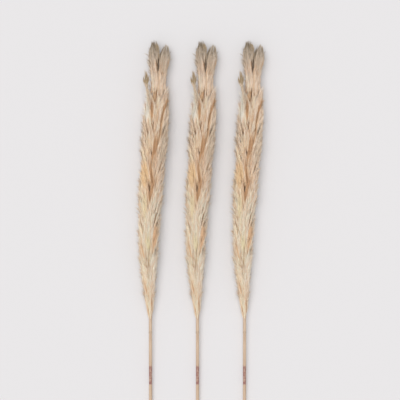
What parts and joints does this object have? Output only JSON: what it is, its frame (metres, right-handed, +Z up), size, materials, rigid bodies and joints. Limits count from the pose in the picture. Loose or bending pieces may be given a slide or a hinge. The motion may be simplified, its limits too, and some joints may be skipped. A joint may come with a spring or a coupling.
{
  "type": "bundle of pampas grass",
  "caption": "Bundle of dried pampas grass: slim cream plumes of silky branch tufts on cut culms, lying side by side on a flat surface.",
  "frame": {"origin": "on the surface that the bundle lies on, under the middle of the bundle's box", "axes": "+Y runs from the cut ends to the plume tips, +X across the plumes, +Z up off the surface"},
  "size_m": [0.2706, 0.9002, 0.0503],
  "materials": {
    "culm": "satin",
    "plume": "matte",
    "plume_head": "matte",
    "sprig": "matte"
  },
  "bodies": {
    "root": {"left_head_left": "plume_head", "left_head_right": "plume_head", "left_sprig": "sprig", "left_stem": "culm", "left_tier1_tuft_left": "plume", "left_tier1_tuft_right": "plume", "left_tier1_tuft_under": "plume", "left_tier2_tuft_lower_left": "plume", "left_tier2_tuft_lower_right": "plume", "left_tier2_tuft_top": "plume", "left_tier3_tuft_left": "plume", "left_tier3_tuft_right": "plume", "left_tier3_tuft_under": "plume", "left_tier4_tuft_lower_left": "plume", "left_tier4_tuft_lower_right": "plume", "left_tier4_tuft_top": "plume", "left_tier5_tuft_left": "plume", "left_tier5_tuft_right": "plume", "left_tier5_tuft_under": "plume", "middle_head_left": "plume_head", "middle_head_right": "plume_head", "middle_sprig": "sprig", "middle_stem": "culm", "middle_tier1_tuft_left": "plume", "middle_tier1_tuft_right": "plume", "middle_tier1_tuft_under": "plume", "middle_tier2_tuft_lower_left": "plume", "middle_tier2_tuft_lower_right": "plume", "middle_tier2_tuft_top": "plume", "middle_tier3_tuft_left": "plume", "middle_tier3_tuft_right": "plume", "middle_tier3_tuft_under": "plume", "middle_tier4_tuft_lower_left": "plume", "middle_tier4_tuft_lower_right": "plume", "middle_tier4_tuft_top": "plume", "middle_tier5_tuft_left": "plume", "middle_tier5_tuft_right": "plume", "middle_tier5_tuft_under": "plume", "right_head_left": "plume_head", "right_head_right": "plume_head", "right_sprig": "sprig", "right_stem": "culm", "right_tier1_tuft_left": "plume", "right_tier1_tuft_right": "plume", "right_tier1_tuft_under": "plume", "right_tier2_tuft_lower_left": "plume", "right_tier2_tuft_lower_right": "plume", "right_tier2_tuft_top": "plume", "right_tier3_tuft_left": "plume", "right_tier3_tuft_right": "plume", "right_tier3_tuft_under": "plume", "right_tier4_tuft_lower_left": "plume", "right_tier4_tuft_lower_right": "plume", "right_tier4_tuft_top": "plume", "right_tier5_tuft_left": "plume", "right_tier5_tuft_right": "plume", "right_tier5_tuft_under": "plume"}
  },
  "joints": []
}
